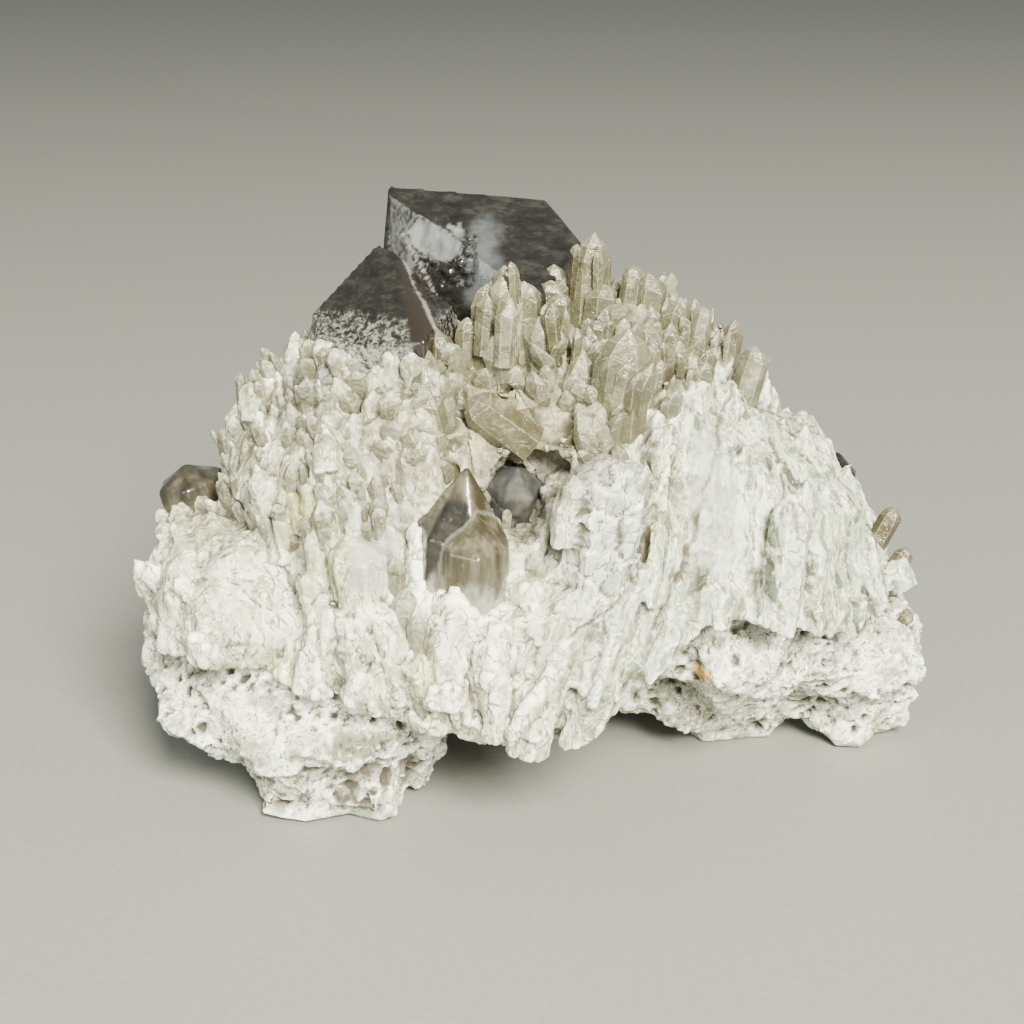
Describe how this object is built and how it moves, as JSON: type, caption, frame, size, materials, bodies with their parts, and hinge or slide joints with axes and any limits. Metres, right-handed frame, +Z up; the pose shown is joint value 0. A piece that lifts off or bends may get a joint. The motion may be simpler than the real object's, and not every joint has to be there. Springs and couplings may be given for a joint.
{
  "type": "smoky quartz crystal cluster",
  "caption": "Dome of milky quartz points on a pitted white rock, with large smoky quartz crystals on top and in front; rests on its rock feet.",
  "frame": {"origin": "on the surface the specimen rests on, under the middle of its bounding box", "axes": "+Z up, -Y towards the front with the smoky pair, +X to the right seen from the front"},
  "size_m": [0.1195, 0.0854, 0.0855],
  "materials": {
    "matrix": "rough, pitted, white to cream",
    "milky_quartz": "translucent to chalky, satin crystal faces",
    "smoky_quartz": "clear smoky grey-brown crystal with inner veils"
  },
  "bodies": {
    "root": {"matrix_rock": "matrix", "crystal_crust": "milky_quartz", "main_smoky_crystals": "smoky_quartz", "front_smoky_pair": "smoky_quartz", "left_smoky_point": "smoky_quartz", "pocket_smoky_point": "smoky_quartz", "right_smoky_point": "smoky_quartz"}
  },
  "joints": []
}
